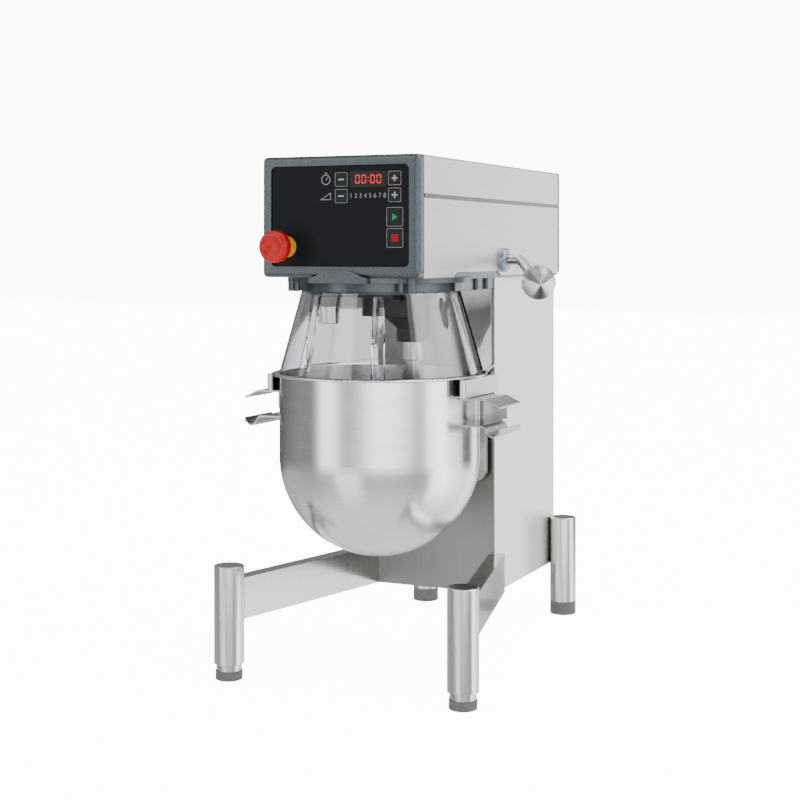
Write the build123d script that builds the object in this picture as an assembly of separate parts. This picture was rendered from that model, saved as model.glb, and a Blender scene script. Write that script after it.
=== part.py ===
from build123d import *
import os
from math import acos, atan2, cos, degrees, hypot, pi, radians, sin, sqrt, tan

# Commercial stand mixer with a 10 litre bowl. All lengths are in millimetres.
# Design frame: x = 0 is the plane of symmetry, y = 0 is the bezel's front face with the
# back towards +y, and z = 0 is the floor. Parts are written about the bottom centre of
# the whole machine's box.

# ---- head ----
HEAD_HALF = 108.0
HEAD_BOTTOM = 515.4
HEAD_TOP = 667.0
HEAD_BACK = 533.0
SHEET = 1.5
BEZEL_DEPTH = 17.0
BEZEL_ROUND = 7.0
PANEL_HALF = 95.0
PANEL_BOTTOM = 529.0
PANEL_TOP = 654.5
PANEL_FACE = 2.0
PANEL_THICK = 3.0
SEAM_Z = 616.3
TRIM_HEIGHT = 5.5
REAR_PLATE = 3.0
NOTCH_FRONT = 110.0
NOTCH_BACK = 284.0
NOTCH_TOP = 521.6
NOTCH_RUN = 13.0
PLATE_TOP = 521.6
PLATE_STEP = 512.5

# ---- column and stand ----
COLUMN_HALF = 93.5
COLUMN_FRONT = 298.2
COLUMN_BACK = 551.6
COLUMN_BOTTOM = 75.0
WALL = 2.0
ARM_BAR_TOP = 128.0
ARM_BAR_THICK = 22.0
LEG_RADIUS = 19.5
LEG_TOP = 146.0
FRONT_LEG = (161.6, 9.9)
REAR_LEG = (113.2, 536.4)
FRONT_TUBE_Z = 21.0
REAR_TUBE_Z = 20.0
NECK_RADIUS = 16.4
FOOT_RADIUS = 17.5
FOOT_HEIGHT = 12.0
FOOT_SCREW = 30.0
LEG_CAP = 3.0
LEG_EDGE = 1.2
ARM_END = 12.0
BASE_THICK = 4.0
DRAIN_X = (-50, 0, 50)
DRAIN_Y = 450.0
DRAIN_RADIUS = 12.0
VENT_ROWS = 8
VENT_X = 36.0
VENT_HALF = 24.0
VENT_BOTTOM = 380.0
VENT_PITCH = 12.0
VENT_HEIGHT = 5.0
COVER_LEDGE = 2.0
COVER_SCREW_Z = (90, 230, 350, 500)
COVER_SCREW_X = 80.0
PLATE_SCREW_Z = (530, 602, 650)
PLATE_SCREW_X = 92.0
SCREW_RADIUS = 4.0
SCREW_HEIGHT = 1.8
GLAND_X = -50.0
GLAND_Z = 140.0
GLAND_SEAT = 10.0
GLAND_RADIUS = 13.0
GLAND_BORE = 4.5
INVERTER_HALF = 60.0
INVERTER_Y = (400, 500)
INVERTER_Z = (130, 300)
INVERTER_FEET_Z = (165, 280)
INVERTER_FOOT = 10.0

# ---- bowl, fork and lift ----
AXIS_Y = 120.4
BOWL_RADIUS = 130.6
BOWL_WALL = 1.5
BOWL_CENTRE_Z = 283.4
RIM_Z = 388.0
RIM_HEIGHT = 3.0
RIM_RADIUS = 140.4
RIM_EDGE = 1.3
LIFT_TRAVEL = 90.0
FORK_BOTTOM = 365.5
FORK_X = 136.0
FORK_THICK = 8.0
FORK_FRONT_Y = 73.0
FORK_BEND_Y = 186.0
HANDLE_Y = (83.0, 158.0)
CARRIER_HALF = 86.0
CARRIER_FACE_Y = 280.0
CARRIER_THICK = 10.0
CARRIER_BOTTOM = 232.0
SLOT_HALF = 20.0
SLOT_SPARE = 5.0
CARRIAGE_BOTTOM = CARRIER_BOTTOM + 30
CARRIAGE_HEIGHT = 100.0
CARRIAGE_HALF = 52.0
ROD_X = 38.0
ROD_Y = 324.0
ROD_RADIUS = 8.0
LINK_X = 70.0
LINK_RADIUS = 6.0

# ---- hand lever ----
LEVER_Y = 290.0
LEVER_Z = 536.5
LEVER_RADIUS = 7.0
LEVER_BEND_X = 133.0
BALL_CENTRE = (204.0, 163.0, 508.5)
BALL_RADIUS = 22.0
CRANK_X = 54.0
CRANK_THICK = 7.0
CRANK_TURN = 100.0
CRANK_REACH = LIFT_TRAVEL / 2 / sin(radians(CRANK_TURN / 2))
LEVER_BEARING_X = (84, 98)
LEVER_BEARING_HALF = 14.0
LINK_SLOT = (50, 82, LEVER_Y - 12, LEVER_Y + 74)

# ---- planetary drive ----
MODULE = 2.0
RING_TEETH = 60
PINION_TEETH = 16
PRESSURE_ANGLE = 20.0
BACKLASH = 0.35
ORBIT = MODULE * (RING_TEETH - PINION_TEETH) / 2
TOOL_ANGLE = 24.2
TOOL_X = ORBIT * cos(radians(TOOL_ANGLE))
TOOL_Y = AXIS_Y + ORBIT * sin(radians(TOOL_ANGLE))
STUB_ORBIT = 66.0
STUB_BOTTOM = 454.0
STUB_STEP = 479.0
STUB_X = -STUB_ORBIT * cos(radians(TOOL_ANGLE))
STUB_Y = AXIS_Y - STUB_ORBIT * sin(radians(TOOL_ANGLE))
DISC_RADIUS = 82.0
DISC_BOTTOM = 490.0
DISC_TOP = 494.5
GEAR_BOTTOM = 495.5
GEAR_TOP = 507.5
SHAFT_RADIUS = 12.5
MAIN_SHAFT_TOP = 594.0
RUNNING_FIT = 0.05
BOSS_BOTTOM = 430.6
ARM_BOTTOM = 464.0
ARM_RADIUS = 23.0
TOOL_RADIUS = 13.0
TOOL_JOURNAL = 8.5
TOOL_BOTTOM = 406.0
HUB_TOP = 396.0
HUB_RADIUS = 14.5
HUB_BOTTOM = 380.0
HUB_NECK = 9.5
WIRE_RADIUS = 1.4
WIRE_LOOPS = 6
WIRE_STEP = 2.6

# ---- belt drive ----
BELT_BOTTOM = 574.0
BELT_TOP = 588.0
MAIN_PULLEY = 75.0
MOTOR_PULLEY = 25.0
BELT_GAP = 0.3
BELT_THICK = 4.0
MOTOR_Y = 420.0
MOTOR_RADIUS = 58.0
MOTOR_SHAFT = 9.0
MOTOR_BOTTOM = 330.0
MOTOR_HOLE = 30.0
MOTOR_FINS = 24
MOTOR_FIN_Z = (345, 485)
MOTOR_FLANGE_HALF = 66.0
MOTOR_FLANGE_Z = 502.0
MOTOR_BEARING_Z = (334, 490)
MOTOR_BEARING_HEIGHT = 10.0
MOTOR_BEARING_RADIUS = 20.0
ROTOR_RADIUS = 30.0
ROTOR_Z = (370, 465)
HUB_CASTING_TOP = 566.0
HUB_CASTING_RADIUS = 40.0
MAIN_BEARING_Z = (524, 550)
MAIN_BEARING_HEIGHT = 13.0
MAIN_BEARING_RADIUS = 26.0

# ---- bowl guard ----
FLANGE_RADIUS = 119.8
FLANGE_BOTTOM = 508.6
FLANGE_TOP = 515.2
RING_INNER = 97.6
RING_OUTER = 105.0
RING_BOTTOM = 497.5
RING_TOP = 508.0
SKIRT_TOP_RADIUS = 101.6
SKIRT_BOTTOM_RADIUS = 130.8
SKIRT_BOTTOM = 391.6
SKIRT_THICK = 2.5
SKIRT_SPAN = 100.0
PLEAT_ANGLES = (-24.0, 24.0)
PLEAT_HALF = 7.0
PLEAT_TOP = 492.0
PLEAT_DEPTH_TOP = 0.5
PLEAT_DEPTH_BOTTOM = 12.0
REAR_TOP_GAP = 2.0
REAR_BOTTOM_GAP = 3.0
POST = (82.6, 34.0)
POST_RIB = (72.0, 27.2)

# ---- front panel ----
STOP_X = -73.7
STOP_Z = 554.0
STOP_RADIUS = 20.0
STOP_HOLE = 9.0
STEM_RADIUS = 6.0
STEM_FRONT = -33.0
CAP_FRONT = -37.0
CAP_BACK = -22.0
COLLAR_FRONT = -20.0
COLLAR_RADIUS = 13.5
SWITCH_HALF = 14.0
KEY_GAP = 0.4
KEY_THICK = 2.4
SMALL_KEY = (14.6, 14.6)
LARGE_KEY = (19.4, 20.7)
KEYS = {
    "key_time_down": (2.6, 637.0, SMALL_KEY),
    "key_time_up": (75.2, 637.5, SMALL_KEY),
    "key_speed_down": (2.6, 616.5, SMALL_KEY),
    "key_speed_up": (75.2, 617.0, SMALL_KEY),
    "key_start": (75.3, 590.2, LARGE_KEY),
    "key_stop": (75.3, 564.5, LARGE_KEY),
}
WINDOW = (14.0, 64.0, 627.0, 647.0)

UP = (Align.CENTER, Align.CENTER, Align.MIN)
PARTS = {}


def block(x0, x1, y0, y1, z0, z1):
    """A box between two opposite corners."""
    return Pos((x0 + x1) / 2, (y0 + y1) / 2, (z0 + z1) / 2) * Box(x1 - x0, y1 - y0, z1 - z0)


def post(x, y, z0, z1, radius):
    """An upright cylinder."""
    return Pos(x, y, z0) * Cylinder(radius, z1 - z0, align=UP)


def collar(x, y, z0, z1, inner, outer):
    """An upright ring."""
    return post(x, y, z0, z1, outer) - post(x, y, z0, z1, inner)


def bar_x(x0, x1, y, z, radius):
    """A round bar along x."""
    return Pos(x0, y, z) * Rot(0, 90, 0) * Cylinder(radius, x1 - x0, align=UP)


def bar_y(x, y0, y1, z, radius):
    """A round bar along y."""
    return Pos(x, y0, z) * Rot(-90, 0, 0) * Cylinder(radius, y1 - y0, align=UP)


def prism(points, z0, z1):
    """An upright prism over a closed outline in plan."""
    face = make_face(Polyline(*points, close=True))
    return Pos(0, 0, z0) * extrude(face, amount=z1 - z0)


def side_prism(points, y0, y1):
    """A prism along y over a closed outline of (x, z) points."""
    face = Plane.XZ * make_face(Polyline(*points, close=True))
    return Pos(0, y0, 0) * extrude(face, amount=y0 - y1)


def mirrored(solid):
    """The same solid on the other side of the plane of symmetry."""
    return mirror(solid, about=Plane.YZ)


def both(solid):
    """A left and right pair."""
    return [solid, mirrored(solid)]


def strip(x0, y0, x1, y1, thick, z0, z1):
    """An upright plate whose middle line runs between two points in plan."""
    length = hypot(x1 - x0, y1 - y0)
    turn = degrees(atan2(y1 - y0, x1 - x0))
    place = Pos((x0 + x1) / 2, (y0 + y1) / 2, z0) * Rot(0, 0, turn)
    return place * Box(length, thick, z1 - z0, align=UP)


def keep(name, *solids):
    """Files the solids of one node under its name."""
    PARTS[name] = [piece for solid in solids for piece in solid.solids()]


# ---- stand and column ----

def leg_tube(x, y, bottom):
    """A leg: a tube closed above, with a rounded top edge."""
    outer = post(x, y, bottom, LEG_TOP, LEG_RADIUS)
    outer = fillet(outer.edges().sort_by(Axis.Z)[-1], LEG_EDGE)
    return outer - post(x, y, 0, LEG_TOP - LEG_CAP, LEG_RADIUS - WALL)


def stand():
    """Legs, feet, outriggers and the sheet-metal column."""
    x, y = FRONT_LEG
    rear_x, rear_y = REAR_LEG
    keep("legs", *both(leg_tube(x, y, FRONT_TUBE_Z)), *both(leg_tube(rear_x, rear_y, REAR_TUBE_Z)))

    screw_radius = LEG_RADIUS - WALL - 0.2
    neck = post(x, y, FOOT_HEIGHT, FRONT_TUBE_Z, NECK_RADIUS)
    neck += post(x, y, FRONT_TUBE_Z, FRONT_TUBE_Z + FOOT_SCREW, screw_radius)
    rear_neck = post(rear_x, rear_y, REAR_TUBE_Z, REAR_TUBE_Z + FOOT_SCREW, screw_radius)
    keep("levelling_feet", *both(neck), *both(rear_neck))

    front_foot = fillet(post(x, y, 0, FOOT_HEIGHT, FOOT_RADIUS).edges().sort_by(Axis.Z)[0], 1.5)
    rear_foot = fillet(post(rear_x, rear_y, 0, REAR_TUBE_Z, LEG_RADIUS).edges().sort_by(Axis.Z)[0], 1.5)
    keep("rubber_feet", *both(front_foot), *both(rear_foot))

    end = (COLUMN_HALF - 1.5, COLUMN_FRONT + ARM_END)
    tube = strip(x, y, *end, ARM_BAR_THICK, COLUMN_BOTTOM, ARM_BAR_TOP)
    tube -= strip(x, y, *end, ARM_BAR_THICK - 2 * WALL, COLUMN_BOTTOM + WALL, ARM_BAR_TOP - WALL)
    tube -= post(x, y, 0, LEG_TOP, LEG_RADIUS)
    tube -= block(-COLUMN_HALF, COLUMN_HALF, COLUMN_FRONT, COLUMN_BACK, 0, LEG_TOP)
    keep("outriggers", *both(tube))

    shell = block(-COLUMN_HALF, COLUMN_HALF, COLUMN_FRONT, COLUMN_BACK - WALL, COLUMN_BOTTOM, PLATE_STEP)
    shell = fillet(shell.edges().filter_by(Axis.Z).group_by(Axis.Y)[0], 2.5)
    inner = COLUMN_HALF - WALL
    shell -= block(-inner, inner, COLUMN_FRONT + WALL, COLUMN_BACK, COLUMN_BOTTOM, PLATE_STEP)
    slot_bottom = CARRIAGE_BOTTOM - LIFT_TRAVEL - SLOT_SPARE
    slot_top = CARRIAGE_BOTTOM + CARRIAGE_HEIGHT + SLOT_SPARE
    shell -= block(-SLOT_HALF, SLOT_HALF, COLUMN_FRONT - 1, COLUMN_FRONT + 10, slot_bottom, slot_top)
    keep("column_shell", shell)

    base_bottom = COLUMN_BOTTOM + WALL
    base_top = base_bottom + BASE_THICK
    base = block(-inner, inner, COLUMN_FRONT + WALL, COLUMN_BACK - WALL, base_bottom, base_top)
    for drain_x in DRAIN_X:
        base -= post(drain_x, DRAIN_Y, COLUMN_BOTTOM, base_top + 1, DRAIN_RADIUS)
    keep("base_plate", base)

    rods = [post(side * ROD_X, ROD_Y, base_top, PLATE_STEP, ROD_RADIUS) for side in (-1, 1)]
    keep("guide_rods", *rods)
    column_back()


def column_back():
    """The vented rear cover with its cable gland, and the inverter's box behind it."""
    inside = COLUMN_BACK - WALL
    cover = block(-COLUMN_HALF, COLUMN_HALF, inside, COLUMN_BACK, COLUMN_BOTTOM + 1, PLATE_STEP - 1)
    for row in range(VENT_ROWS):
        for x in (-VENT_X, VENT_X):
            z = VENT_BOTTOM + VENT_PITCH * row
            vent = block(x - VENT_HALF, x + VENT_HALF, inside - 3, COLUMN_BACK + 5, z, z + VENT_HEIGHT)
            cover -= fillet(vent.edges().filter_by(Axis.Y), VENT_HEIGHT / 2 - 0.1)
    cover -= bar_y(GLAND_X, COLUMN_BACK - 10, COLUMN_BACK + 10, GLAND_Z, GLAND_SEAT)
    ledge = COLUMN_HALF - WALL - 0.3
    ledge_top = PLATE_STEP - COVER_LEDGE
    cover += block(-ledge, ledge, HEAD_BACK + 0.5, COLUMN_BACK - 1, ledge_top - COVER_LEDGE, ledge_top)
    keep("rear_cover", cover)

    gland = bar_y(GLAND_X, COLUMN_BACK - 6, COLUMN_BACK + 1.5, GLAND_Z, GLAND_SEAT - 0.1)
    gland += bar_y(GLAND_X, COLUMN_BACK, COLUMN_BACK + 4, GLAND_Z, GLAND_RADIUS)
    gland -= bar_y(GLAND_X, COLUMN_BACK - 10, COLUMN_BACK + 10, GLAND_Z, GLAND_BORE)
    keep("cable_gland", gland)

    box = block(-INVERTER_HALF, INVERTER_HALF, *INVERTER_Y, *INVERTER_Z)
    box = fillet(box.edges().filter_by(Axis.Z), 4)
    for z in INVERTER_FEET_Z:
        box += block(-INVERTER_HALF, INVERTER_HALF, INVERTER_Y[1], inside, z, z + INVERTER_FOOT)
    keep("inverter_box", box)


# ---- head ----

def rounded_slab(half, y0, y1, z0, z1, radius):
    """A slab across the machine with rounded corners, seen from the front."""
    slab = block(-half, half, y0, y1, z0, z1)
    return fillet(slab.edges().filter_by(Axis.Y), radius)


def head_casting():
    """The cast plate of the head with its main bearing hub and the lever's bearing."""
    side = HEAD_HALF - SHEET - 0.3
    plate = block(-side, side, BEZEL_DEPTH + 1, HEAD_BACK - REAR_PLATE - 1, HEAD_BOTTOM, PLATE_TOP)
    step = block(-side, side, NOTCH_FRONT + 14, HEAD_BACK - REAR_PLATE - 1, PLATE_STEP, HEAD_BOTTOM)
    step -= post(0, AXIS_Y, PLATE_STEP - 1, HEAD_BOTTOM, FLANGE_RADIUS + 0.4)
    casting = plate + step + post(0, AXIS_Y, HEAD_BOTTOM, HUB_CASTING_TOP, HUB_CASTING_RADIUS)
    casting -= post(0, AXIS_Y, PLATE_STEP - 1, HUB_CASTING_TOP + 4, MAIN_BEARING_RADIUS)
    shoulder = MAIN_BEARING_Z[0] + MAIN_BEARING_HEIGHT
    casting += collar(0, AXIS_Y, shoulder, MAIN_BEARING_Z[1], SHAFT_RADIUS + 1.5, MAIN_BEARING_RADIUS + 1)
    casting -= post(0, MOTOR_Y, PLATE_STEP - 1, PLATE_TOP + 10, MOTOR_HOLE)
    x0, x1, y0, y1 = LINK_SLOT
    casting -= block(x0, x1, y0, y1, PLATE_STEP - 1, PLATE_TOP + 1)
    x0, x1 = LEVER_BEARING_X
    low = LEVER_Y - LEVER_BEARING_HALF
    high = LEVER_Y + LEVER_BEARING_HALF
    bearing = block(x0, x1, low, high, PLATE_TOP - 1, LEVER_Z + LEVER_BEARING_HALF)
    bearing -= bar_x(x0 - 4, x1 + 2, LEVER_Y, LEVER_Z, LEVER_RADIUS + RUNNING_FIT)
    return casting + bearing


def side_shell():
    """One stainless side of the head, notched below over the guard."""
    back = HEAD_BACK - REAR_PLATE
    top = SEAM_Z - TRIM_HEIGHT / 2
    outline = [(BEZEL_DEPTH, HEAD_BOTTOM), (NOTCH_FRONT, HEAD_BOTTOM), (NOTCH_FRONT + NOTCH_RUN, NOTCH_TOP),
               (NOTCH_BACK - NOTCH_RUN, NOTCH_TOP), (NOTCH_BACK, HEAD_BOTTOM), (back, HEAD_BOTTOM),
               (back, top), (BEZEL_DEPTH, top)]
    face = Plane.YZ * make_face(Polyline(*outline, close=True))
    return Pos(HEAD_HALF - SHEET, 0, 0) * extrude(face, amount=SHEET)


def head():
    """The head's casting, casings and bezel."""
    keep("head_casting", head_casting())
    back = HEAD_BACK - REAR_PLATE
    right = side_shell() - bar_x(100, 112, LEVER_Y, LEVER_Z, 12)
    keep("side_shells", right, mirrored(side_shell()))

    trim_bottom = SEAM_Z - TRIM_HEIGHT / 2
    trim_top = SEAM_Z + TRIM_HEIGHT / 2
    trim = block(-HEAD_HALF - 0.6, HEAD_HALF + 0.6, BEZEL_DEPTH, back, trim_bottom, trim_top)
    trim -= block(-HEAD_HALF + 5, HEAD_HALF - 5, BEZEL_DEPTH + 5, back - 5, trim_bottom, trim_top)
    keep("trim_strip", trim)

    top = block(-HEAD_HALF, HEAD_HALF, BEZEL_DEPTH, back, trim_top, HEAD_TOP)
    top = fillet(top.edges().filter_by(Axis.Y).group_by(Axis.Z)[-1], 5)
    half = HEAD_HALF - SHEET
    inner = block(-half, half, BEZEL_DEPTH - 1, back + 1, trim_top - 1, HEAD_TOP - SHEET)
    inner = fillet(inner.edges().filter_by(Axis.Y).group_by(Axis.Z)[-1], 3.5)
    keep("top_cover", top - inner)

    keep("rear_plate", rounded_slab(HEAD_HALF + 0.6, back, HEAD_BACK, HEAD_BOTTOM, HEAD_TOP, 4))

    bezel = rounded_slab(HEAD_HALF, 0, BEZEL_DEPTH, HEAD_BOTTOM, HEAD_TOP, 6)
    bezel = fillet(bezel.faces().sort_by(Axis.Y)[0].edges(), BEZEL_ROUND - 1.2)
    bezel -= rounded_slab(PANEL_HALF, -1, PANEL_FACE + PANEL_THICK, PANEL_BOTTOM, PANEL_TOP, 7)
    bezel -= rounded_slab(PANEL_HALF - 6, 0, BEZEL_DEPTH + 1, PANEL_BOTTOM + 6, PANEL_TOP - 6, 4)
    keep("bezel", bezel)

    screws = []
    for x in (-COVER_SCREW_X, COVER_SCREW_X):
        for z in COVER_SCREW_Z:
            screws.append(bar_y(x, COLUMN_BACK, COLUMN_BACK + SCREW_HEIGHT, z, SCREW_RADIUS))
    for x in (-PLATE_SCREW_X, PLATE_SCREW_X):
        for z in PLATE_SCREW_Z:
            screws.append(bar_y(x, HEAD_BACK, HEAD_BACK + SCREW_HEIGHT, z, SCREW_RADIUS))
    keep("cover_screws", *screws)


def key_block(x, z, size, y0, y1, gap):
    """The body or the hole of one key."""
    width = size[0] + 2 * gap
    height = size[1] + 2 * gap
    key = block(x - width / 2, x + width / 2, y0, y1, z - height / 2, z + height / 2)
    return fillet(key.edges().filter_by(Axis.Y), 1.0 + gap)


def front_panel():
    """The control panel, its keys, its display and the emergency stop."""
    back = PANEL_FACE + PANEL_THICK
    panel = rounded_slab(PANEL_HALF - 0.3, PANEL_FACE, back, PANEL_BOTTOM + 0.3, PANEL_TOP - 0.3, 6.7)
    for name, (x, z, size) in KEYS.items():
        panel -= key_block(x, z, size, 0, back + 1, KEY_GAP)
        keep(name, key_block(x, z, size, PANEL_FACE - 0.3, PANEL_FACE - 0.3 + KEY_THICK, 0))
    x0, x1, z0, z1 = WINDOW
    panel -= block(x0 - 0.1, x1 + 0.1, 0, back + 1, z0 - 0.1, z1 + 0.1)
    panel -= bar_y(STOP_X, -1, back + 1, STOP_Z, STOP_HOLE)
    keep("control_panel", panel)
    keep("display_window", block(x0, x1, PANEL_FACE + 0.3, back, z0, z1))

    board = block(-20, 88, back + 4, back + 5.6, 552, 647)
    board += block(15, 63, back + 5.6, back + 11, 628, 646)
    for x, z, _ in KEYS.values():
        board += bar_y(x, back + 1.6, back + 4, z, 3)
    keep("control_board", board)

    neck = bar_y(STOP_X, COLLAR_FRONT, PANEL_FACE, STOP_Z, COLLAR_RADIUS)
    neck = fillet(neck.edges().group_by(Axis.Y)[0], 1.5)
    neck += bar_y(STOP_X, PANEL_FACE - 1, back + 6, STOP_Z, STOP_HOLE - 0.2)
    neck -= bar_y(STOP_X, COLLAR_FRONT - 1, back + 20, STOP_Z, STEM_RADIUS + RUNNING_FIT)
    keep("stop_collar", neck)
    switch = rounded_slab(SWITCH_HALF, back + 14, back + 34, -SWITCH_HALF, SWITCH_HALF, 2)
    keep("stop_switch", switch.moved(Pos(STOP_X, 0, STOP_Z)))

    keep("stop_stem", bar_y(STOP_X, STEM_FRONT, back + 8, STOP_Z, STEM_RADIUS))
    cap = bar_y(STOP_X, CAP_FRONT, CAP_BACK, STOP_Z, STOP_RADIUS)
    cap = fillet(cap.edges().group_by(Axis.Y)[0], 4)
    cap = fillet(cap.edges().group_by(Axis.Y)[-1], 2)
    cap -= bar_y(STOP_X, STEM_FRONT - 0.3, COLLAR_FRONT, STOP_Z, STEM_RADIUS + RUNNING_FIT)
    cap -= bar_y(STOP_X, COLLAR_FRONT - 6.5, COLLAR_FRONT, STOP_Z, COLLAR_RADIUS + 0.8)
    keep("stop_cap", cap)


# ---- bowl, fork and lift ----

def bowl():
    """The mixing bowl: a hemisphere below a straight wall with an outward rim."""
    inner = BOWL_RADIUS - BOWL_WALL
    bottom = BOWL_CENTRE_Z - BOWL_RADIUS
    rim_top = RIM_Z + RIM_HEIGHT
    low = BOWL_RADIUS * sqrt(0.5)
    low_inner = inner * sqrt(0.5)
    with BuildSketch(Plane.XZ) as profile:
        with BuildLine():
            ThreePointArc((0, bottom), (low, BOWL_CENTRE_Z - low), (BOWL_RADIUS, BOWL_CENTRE_Z))
            Polyline((BOWL_RADIUS, BOWL_CENTRE_Z), (BOWL_RADIUS, RIM_Z), (RIM_RADIUS, RIM_Z),
                     (RIM_RADIUS, rim_top), (inner, rim_top), (inner, BOWL_CENTRE_Z))
            middle = (low_inner, BOWL_CENTRE_Z - low_inner)
            ThreePointArc((inner, BOWL_CENTRE_Z), middle, (0, bottom + BOWL_WALL))
            Line((0, bottom + BOWL_WALL), (0, bottom))
        make_face()
    solid = revolve(profile.sketch, Axis.Z)
    circles = solid.edges().filter_by(GeomType.CIRCLE)
    rim_edges = circles.filter_by(lambda edge: abs(edge.radius - RIM_RADIUS) < 0.01)
    return Pos(0, AXIS_Y, 0) * fillet(rim_edges, RIM_EDGE)


def curved_plate(points, thick):
    """A closed (x, z) face under a smooth line through points."""
    lower = [(x, z - thick) for x, z in points]
    with BuildSketch(Plane.XZ) as sketch:
        with BuildLine():
            Spline(*points)
            Line(points[-1], lower[-1])
            Spline(*reversed(lower))
            Line(lower[0], points[0])
        make_face()
    return sketch.sketch


def bowl_handle():
    """The right handle: two bent plates joined by an upright web."""
    y0, y1 = HANDLE_Y
    upper_z = FORK_BOTTOM - 1.0
    upper = side_prism([(110, upper_z), (162, upper_z), (181, upper_z - 9), (181, upper_z - 11.2),
                        (161.4, upper_z - 2), (110, upper_z - 2)], y0, y1)
    lower_line = [(154, 331), (160, 329.5), (165, 322), (171, 318.5), (176, 321), (181, 328)]
    lower = Pos(0, y0, 0) * extrude(curved_plate(lower_line, 2), amount=y0 - y1)
    lower += block(110, 154.2, y0, y1, 329, 331)
    lower += block(179.4, 181, y0, y1, 320.5, 327)
    web = block(134, 166, 149, 151, 321.5, upper_z - 3.5)
    handle = upper + lower + block(134, 160, 149, 151, 330, upper_z - 1)
    handle += web - block(155, 170, 140, 160, 300, 334)
    return handle - post(0, AXIS_Y, 300, 380, BOWL_RADIUS)


def lift():
    """The bowl with its handles, the fork, the carrier plate and the lift's moving parts."""
    keep("mixing_bowl", bowl())
    keep("bowl_handles", *both(bowl_handle()))

    joint_x = CARRIER_HALF - 4
    arm = strip(FORK_X, FORK_FRONT_Y, FORK_X, FORK_BEND_Y, FORK_THICK, FORK_BOTTOM, RIM_Z)
    arm += post(FORK_X, FORK_BEND_Y, FORK_BOTTOM, RIM_Z, FORK_THICK / 2)
    arm += post(FORK_X, FORK_FRONT_Y, FORK_BOTTOM, RIM_Z, FORK_THICK / 2)
    arm += strip(FORK_X, FORK_BEND_Y, joint_x, CARRIER_FACE_Y - 4, FORK_THICK, FORK_BOTTOM, RIM_Z)
    cross = block(-joint_x, joint_x, CARRIER_FACE_Y - 8, CARRIER_FACE_Y, FORK_BOTTOM, RIM_Z)
    keep("bowl_fork", arm + mirrored(arm) + cross)

    face = CARRIER_FACE_Y
    plate = block(-CARRIER_HALF, CARRIER_HALF, face, face + CARRIER_THICK, CARRIER_BOTTOM, RIM_Z)
    plate = fillet(plate.edges().filter_by(Axis.Y).group_by(Axis.Z)[0], 14)
    plate = fillet(plate.edges().filter_by(Axis.Y).group_by(Axis.Z)[-1], 4)
    for x in (-70, 70):
        plate += bar_y(x, face - 2.5, face, CARRIER_BOTTOM + 22, 5)
    keep("carrier_plate", plate)

    low = CARRIAGE_BOTTOM
    high = low + CARRIAGE_HEIGHT
    carriage = block(-CARRIAGE_HALF, CARRIAGE_HALF, COLUMN_FRONT + 6, ROD_Y + 18, low, high)
    carriage += block(-SLOT_HALF + 2, SLOT_HALF - 2, face + CARRIER_THICK, COLUMN_FRONT + 8, low, high)
    carriage += block(50, 82, ROD_Y + 4, ROD_Y + 24, low, low + 16)
    for side in (-1, 1):
        carriage -= post(side * ROD_X, ROD_Y, low - 1, high + 1, ROD_RADIUS + RUNNING_FIT)
    keep("lift_carriage", carriage)

    link_y = LEVER_Y + CRANK_REACH * (1 + cos(radians(CRANK_TURN / 2))) / 2
    link_top = LEVER_Z + LIFT_TRAVEL / 2
    link = post(LINK_X, link_y, low + 16, link_top - 2, LINK_RADIUS)
    link += bar_x(LINK_X - 7, LINK_X + 7, link_y, link_top, 8)
    keep("lift_link", link)


def lever():
    """The hand lever: shaft, bent rod, ball grip and the crank inside the head."""
    ball_x, ball_y, ball_z = BALL_CENTRE
    bend = Vector(LEVER_BEND_X, LEVER_Y, LEVER_Z)
    out = Vector(ball_x, ball_y, ball_z) - bend
    shaft = bar_x(CRANK_X - 6, LEVER_BEND_X, LEVER_Y, LEVER_Z, LEVER_RADIUS)
    rod = Plane(origin=bend, z_dir=out) * Cylinder(LEVER_RADIUS, out.length - BALL_RADIUS + 3, align=UP)
    elbow = Pos(LEVER_BEND_X, LEVER_Y, LEVER_Z) * Sphere(LEVER_RADIUS)
    crank_low = CRANK_X - 1
    shaft -= bar_x(crank_low - 10, crank_low + CRANK_THICK + 1, LEVER_Y, LEVER_Z, LEVER_RADIUS + 1)
    ball = Pos(ball_x, ball_y, ball_z) * Sphere(BALL_RADIUS)
    arm = shaft + rod + elbow
    keep("lever_arm", arm - ball)
    keep("lever_ball", ball)

    turn = radians(CRANK_TURN / 2)
    pin_y = LEVER_Y + CRANK_REACH * cos(turn)
    pin_z = LEVER_Z + CRANK_REACH * sin(turn)
    crank = bar_x(crank_low, crank_low + CRANK_THICK, LEVER_Y, LEVER_Z, 11)
    crank += bar_x(crank_low, crank_low + CRANK_THICK, pin_y, pin_z, 7)
    web = block(crank_low, crank_low + CRANK_THICK, 0, CRANK_REACH, -5, 5)
    crank += Pos(0, LEVER_Y, LEVER_Z) * Rot(CRANK_TURN / 2, 0, 0) * web
    crank += bar_x(crank_low + CRANK_THICK, crank_low + CRANK_THICK + 1, LEVER_Y, LEVER_Z, LEVER_RADIUS)
    keep("lift_crank", crank)

    bush = bar_x(HEAD_HALF - SHEET - 0.2, HEAD_HALF, LEVER_Y, LEVER_Z, 11.8)
    dome = bar_x(HEAD_HALF, HEAD_HALF + 8, LEVER_Y, LEVER_Z, 16.5)
    dome = fillet(dome.edges().group_by(Axis.X)[-1], 5)
    keep("lever_bush", bush + dome - bar_x(100, 120, LEVER_Y, LEVER_Z, LEVER_RADIUS + RUNNING_FIT))


# ---- drive ----

def involute(angle):
    """The involute function of an angle in radians."""
    return tan(angle) - angle


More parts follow.
